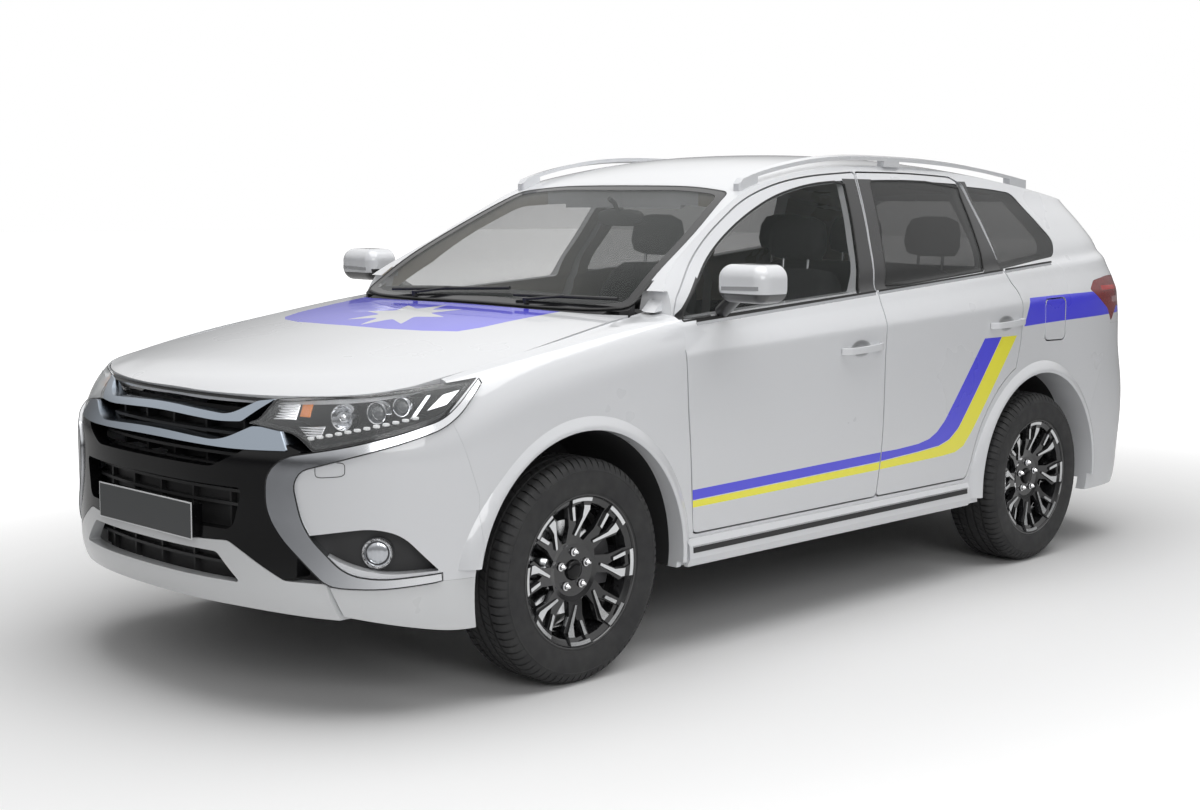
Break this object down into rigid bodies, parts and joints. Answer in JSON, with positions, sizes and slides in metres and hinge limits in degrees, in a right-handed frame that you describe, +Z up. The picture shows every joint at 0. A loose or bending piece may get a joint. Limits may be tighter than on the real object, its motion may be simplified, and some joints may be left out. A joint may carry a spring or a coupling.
{
  "type": "police patrol car",
  "caption": "Five-door sport-utility patrol car with opening doors, bonnet, tailgate and fuel flap, steered front wheels, roof rails and a lined cabin; plain panels with no lettering.",
  "frame": {"origin": "on the ground, under the middle of the car's length and width", "axes": "+X to the car's left, +Y to its rear, +Z up"},
  "size_m": [2.196, 4.6945, 1.672],
  "materials": {
    "body_paint": "pearl white clear-coated paint",
    "structure": "dark painted pressed steel",
    "window_glass": "clear, lightly green safety glass",
    "tinted_glass": "dark tinted safety glass",
    "lamp_glass": "clear moulded lamp cover",
    "tail_lens": "red lamp plastic",
    "black_gloss": "piano black moulding",
    "black_trim": "grained dark plastic",
    "bright_trim": "bright metallised moulding",
    "satin_bar": "satin dark chrome",
    "silver_paint": "silver paint",
    "alloy": "dark painted alloy with machined faces",
    "tyre": "moulded rubber",
    "iron": "bare castings and forgings",
    "seat_cloth": "dark cloth over foam"
  },
  "bodies": {
    "shell": {"body_side_left": "body_paint", "body_side_right": "body_paint", "bumper_front": "body_paint", "bumper_rear": "body_paint", "chin": "silver_paint", "dashboard": "black_trim", "floor_pan": "structure", "fog_lamps": "black_trim", "front_blades": "bright_trim", "front_frame": "structure", "front_panel": "black_gloss", "front_seats": "seat_cloth", "front_wings": "body_paint", "grille": "black_trim", "grille_bars": "satin_bar", "headlamp_lenses": "lamp_glass", "headlamps": "black_gloss", "power_unit": "iron", "quarter_glass": "tinted_glass", "rear_axle": "iron", "rear_seat": "seat_cloth", "roof_panel": "body_paint", "roof_rails": "silver_paint", "side_skirts": "body_paint", "skid_plate": "silver_paint", "tail_lamps": "tail_lens", "windscreen": "window_glass", "wipers": "black_trim"},
    "door_fl": {"door_front_left": "body_paint", "glass_front_left": "window_glass", "mirror_left": "body_paint"},
    "door_fr": {"door_front_right": "body_paint", "glass_front_right": "window_glass", "mirror_right": "body_paint"},
    "door_rl": {"door_rear_left": "body_paint", "glass_rear_left": "tinted_glass"},
    "door_rr": {"door_rear_right": "body_paint", "glass_rear_right": "tinted_glass"},
    "bonnet": {"bonnet": "body_paint"},
    "tailgate": {"tailgate": "body_paint", "tailgate_glass": "tinted_glass"},
    "fuel_flap": {"fuel_flap": "body_paint"},
    "knuckle_l": {"knuckle_left": "iron"},
    "knuckle_r": {"knuckle_right": "iron"},
    "wheel_fl": {"rim_front_left": "alloy", "tyre_front_left": "tyre"},
    "wheel_fr": {"rim_front_right": "alloy", "tyre_front_right": "tyre"},
    "wheel_rl": {"rim_rear_left": "alloy", "tyre_rear_left": "tyre"},
    "wheel_rr": {"rim_rear_right": "alloy", "tyre_rear_right": "tyre"},
    "steering": {"steering_wheel": "black_trim"}
  },
  "joints": [
    {"name": "door_fl_hinge", "type": "hinge", "parent": "shell", "child": "door_fl", "pos_m": [0.8855, -0.906, 0.75], "axis": [0, 0, -1], "range_deg": [0, 65]},
    {"name": "door_fr_hinge", "type": "hinge", "parent": "shell", "child": "door_fr", "pos_m": [-0.8855, -0.906, 0.75], "axis": [0, 0, 1], "range_deg": [0, 65]},
    {"name": "door_rl_hinge", "type": "hinge", "parent": "shell", "child": "door_rl", "pos_m": [0.8895, 0.171, 0.75], "axis": [0, 0, -1], "range_deg": [0, 65]},
    {"name": "door_rr_hinge", "type": "hinge", "parent": "shell", "child": "door_rr", "pos_m": [-0.8895, 0.171, 0.75], "axis": [0, 0, 1], "range_deg": [0, 65]},
    {"name": "bonnet_hinge", "type": "hinge", "parent": "shell", "child": "bonnet", "pos_m": [0, -0.984, 1.106], "axis": [-1, 0, 0], "range_deg": [0, 50]},
    {"name": "tailgate_hinge", "type": "hinge", "parent": "shell", "child": "tailgate", "pos_m": [0, 1.874, 1.5485], "axis": [1, 0, 0], "range_deg": [0, 80]},
    {"name": "fuel_flap_hinge", "type": "hinge", "parent": "shell", "child": "fuel_flap", "pos_m": [0.8745, 1.3385, 1.006], "axis": [0, 0, -1], "range_deg": [0, 95]},
    {"name": "steer_l", "type": "hinge", "parent": "shell", "child": "knuckle_l", "pos_m": [0.7, -1.3625, 0.352], "axis": [-0.1968, 0, 0.9804], "range_deg": [-33, 33]},
    {"name": "steer_r", "type": "hinge", "parent": "shell", "child": "knuckle_r", "pos_m": [-0.7, -1.3625, 0.352], "axis": [0.1968, 0, 0.9804], "range_deg": [-33, 33]},
    {"name": "wheel_fl_spin", "type": "hinge", "parent": "knuckle_l", "child": "wheel_fl", "pos_m": [0.77, -1.3625, 0.352], "axis": [1, 0, 0], "continuous": true},
    {"name": "wheel_fr_spin", "type": "hinge", "parent": "knuckle_r", "child": "wheel_fr", "pos_m": [-0.77, -1.3625, 0.352], "axis": [1, 0, 0], "continuous": true},
    {"name": "wheel_rl_spin", "type": "hinge", "parent": "shell", "child": "wheel_rl", "pos_m": [0.77, 1.3075, 0.352], "axis": [1, 0, 0], "continuous": true},
    {"name": "wheel_rr_spin", "type": "hinge", "parent": "shell", "child": "wheel_rr", "pos_m": [-0.77, 1.3075, 0.352], "axis": [1, 0, 0], "continuous": true},
    {"name": "steering_turn", "type": "hinge", "parent": "shell", "child": "steering", "pos_m": [0.365, -0.43, 0.965], "axis": [0, 0.9063, 0.4226], "range_deg": [-500, 500]}
  ],
  "couplings": [
    {"joint": "steer_r", "follows": "steer_l", "ratio": 1},
    {"joint": "steering_turn", "follows": "steer_l", "ratio": 15}
  ]
}
